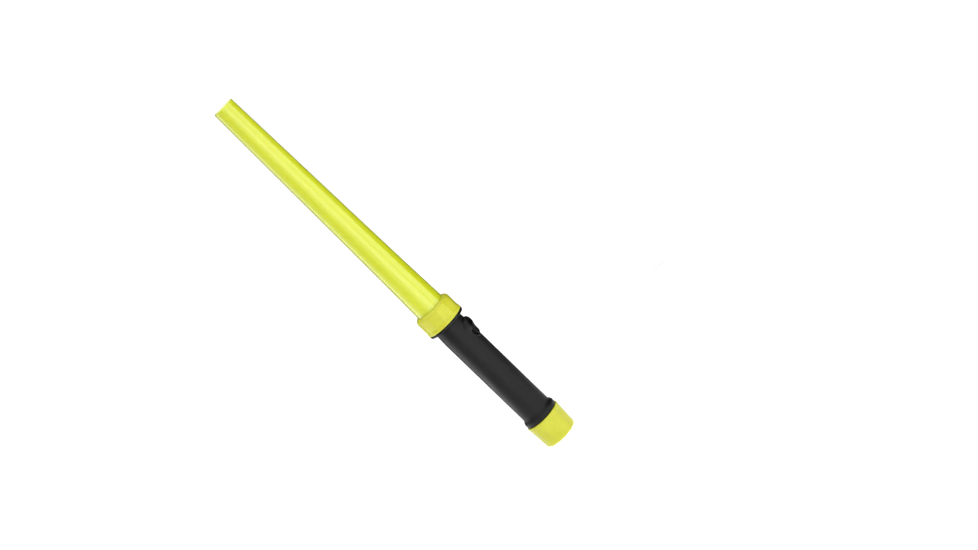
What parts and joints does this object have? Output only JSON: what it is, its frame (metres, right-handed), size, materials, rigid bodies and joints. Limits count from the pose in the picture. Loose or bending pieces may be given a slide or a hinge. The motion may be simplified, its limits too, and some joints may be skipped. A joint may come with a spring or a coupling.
{
  "type": "traffic baton light",
  "caption": "Hand-held traffic baton light: long tapering yellow-green wand held by a faceted ring nut on a black battery handle with slide switch and faceted screw tail cap.",
  "frame": {"origin": "middle of the tail cap's flat end, on which the baton stands", "axes": "+Z along the baton from the tail cap to the wand's tip; the slide switch faces -Y"},
  "size_m": [0.0422, 0.0422, 0.457],
  "materials": {
    "wand_plastic": "translucent fluorescent yellow-green, glossy",
    "cap_plastic": "opaque pale yellow, moulded, semi-gloss",
    "black_plastic": "black, moulded, semi-gloss",
    "grip_rubber": "black, satin",
    "seal_rubber": "black, soft",
    "white_nylon": "white, matte",
    "brass": "bright, stamped",
    "circuit_board": "green solder mask",
    "chip_black": "moulded package",
    "led_board": "white solder mask on aluminium",
    "led_ceramic": "ceramic",
    "led_silicone": "clear silicone over phosphor",
    "screw_steel": "plated",
    "mirror_metal": "vacuum metallised",
    "clear_lens": "clear polycarbonate",
    "cell_steel": "nickel plated",
    "cell_wrap": "plain grey shrink sleeve",
    "spring_steel": "nickel plated wire"
  },
  "bodies": {
    "tail_cap": {"tail_cap": "cap_plastic", "tail_contact": "brass", "tail_spring": "spring_steel"},
    "tail_seal": {"tail_seal": "seal_rubber"},
    "handle": {"barrel": "black_plastic", "grip_sleeve": "grip_rubber", "head_seal": "seal_rubber", "switch_housing": "black_plastic", "switch_contact": "brass", "return_strip": "brass", "lamp_holder": "white_nylon", "positive_contact": "brass", "driver_board": "circuit_board", "driver_chip": "chip_black", "board_pins": "brass", "led_board": "led_board", "led_package": "led_ceramic", "led_dome": "led_silicone", "lamp_screws": "screw_steel", "reflector": "mirror_metal", "lens": "clear_lens", "cell_rear": "cell_steel", "cell_front": "cell_steel", "cell_rear_wrap": "cell_wrap", "cell_front_wrap": "cell_wrap"},
    "wand": {"wand_cone": "wand_plastic", "wand_gasket": "seal_rubber"},
    "collar": {"collar": "cap_plastic"},
    "switch": {"switch_slider": "black_plastic", "switch_carriage": "white_nylon", "switch_leaf": "brass"}
  },
  "joints": [
    {"name": "handle_lift", "type": "slide", "parent": "tail_cap", "child": "tail_seal", "axis": [0, 0, 1], "range_m": [0, 0.012]},
    {"name": "tail_cap_turn", "type": "hinge", "parent": "tail_seal", "child": "handle", "pos_m": [0, 0, 0.012], "axis": [0, 0, 1], "range_deg": [0, 1081]},
    {"name": "wand_lift", "type": "slide", "parent": "handle", "child": "wand", "axis": [0, 0, 1], "range_m": [0, 0.012]},
    {"name": "collar_turn", "type": "hinge", "parent": "wand", "child": "collar", "pos_m": [0, 0, 0.17], "axis": [0, 0, 1], "range_deg": [0, 1081]},
    {"name": "switch_slide", "type": "slide", "parent": "handle", "child": "switch", "axis": [0, 0, 1], "range_m": [0, 0.0054]}
  ],
  "couplings": [
    {"joint": "tail_cap_turn", "follows": "handle_lift", "rad_per_m": 1570.8},
    {"joint": "collar_turn", "follows": "wand_lift", "rad_per_m": 1570.8}
  ]
}
